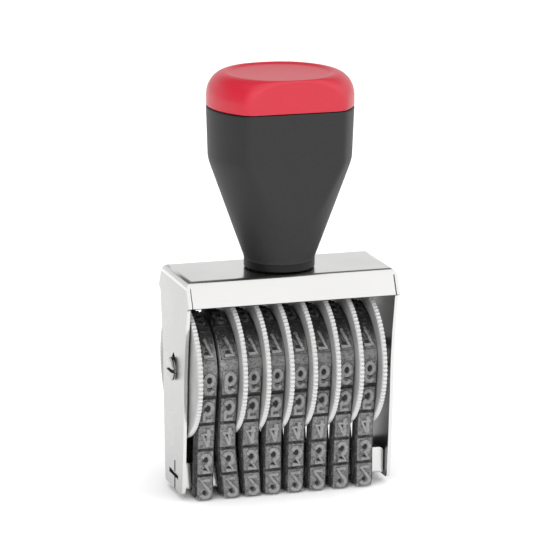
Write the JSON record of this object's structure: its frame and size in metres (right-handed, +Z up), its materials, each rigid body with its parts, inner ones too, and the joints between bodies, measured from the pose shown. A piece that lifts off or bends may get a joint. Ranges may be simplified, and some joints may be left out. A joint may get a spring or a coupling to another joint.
{
  "type": "band numbering stamp",
  "caption": "Hand numbering stamp: a round handle on a folded metal frame that holds toothed thumb discs and endless rubber bands with raised digits.",
  "frame": {"origin": "middle of the row of print faces, at the bottom centre of the bounding box", "axes": "+X along the wheel axle towards the user's right, -Y towards the user, +Z up the handle"},
  "size_m": [0.067, 0.0408, 0.1239],
  "materials": {
    "frame_sheet": "polished nickel plate",
    "axle_steel": "turned",
    "disc": "satin",
    "drum": "matte",
    "band_rubber": "matte",
    "handle_collar": "matte",
    "handle_body": "fine grain",
    "handle_cap": "semi gloss"
  },
  "bodies": {
    "body": {"frame": "frame_sheet", "bridge": "frame_sheet", "axle": "axle_steel", "axle_ring": "axle_steel", "spacer_ring": "axle_steel", "spacer_sleeve": "axle_steel", "handle_collar": "handle_collar", "handle_body": "handle_body", "handle_cap": "handle_cap", "handle_screw": "axle_steel", "screw_washer": "axle_steel", "number_band_1": "band_rubber", "number_band_2": "band_rubber", "number_band_3": "band_rubber", "number_band_4": "band_rubber", "number_band_5": "band_rubber", "number_band_6": "band_rubber", "number_band_7": "band_rubber", "number_band_8": "band_rubber"},
    "wheel_1": {"thumb_disc_1": "disc", "drum_1": "drum"},
    "wheel_2": {"thumb_disc_2": "disc", "drum_2": "drum"},
    "wheel_3": {"thumb_disc_3": "disc", "drum_3": "drum"},
    "wheel_4": {"thumb_disc_4": "disc", "drum_4": "drum"},
    "wheel_5": {"thumb_disc_5": "disc", "drum_5": "drum"},
    "wheel_6": {"thumb_disc_6": "disc", "drum_6": "drum"},
    "wheel_7": {"thumb_disc_7": "disc", "drum_7": "drum"},
    "wheel_8": {"thumb_disc_8": "disc", "drum_8": "drum"}
  },
  "joints": [
    {"name": "wheel_1_turn", "type": "hinge", "parent": "body", "child": "wheel_1", "pos_m": [0, 0, 0.03781], "axis": [1, 0, 0], "continuous": true},
    {"name": "wheel_2_turn", "type": "hinge", "parent": "body", "child": "wheel_2", "pos_m": [0, 0, 0.03781], "axis": [1, 0, 0], "continuous": true},
    {"name": "wheel_3_turn", "type": "hinge", "parent": "body", "child": "wheel_3", "pos_m": [0, 0, 0.03781], "axis": [1, 0, 0], "continuous": true},
    {"name": "wheel_4_turn", "type": "hinge", "parent": "body", "child": "wheel_4", "pos_m": [0, 0, 0.03781], "axis": [1, 0, 0], "continuous": true},
    {"name": "wheel_5_turn", "type": "hinge", "parent": "body", "child": "wheel_5", "pos_m": [0, 0, 0.03781], "axis": [1, 0, 0], "continuous": true},
    {"name": "wheel_6_turn", "type": "hinge", "parent": "body", "child": "wheel_6", "pos_m": [0, 0, 0.03781], "axis": [1, 0, 0], "continuous": true},
    {"name": "wheel_7_turn", "type": "hinge", "parent": "body", "child": "wheel_7", "pos_m": [0, 0, 0.03781], "axis": [1, 0, 0], "continuous": true},
    {"name": "wheel_8_turn", "type": "hinge", "parent": "body", "child": "wheel_8", "pos_m": [0, 0, 0.03781], "axis": [1, 0, 0], "continuous": true}
  ]
}
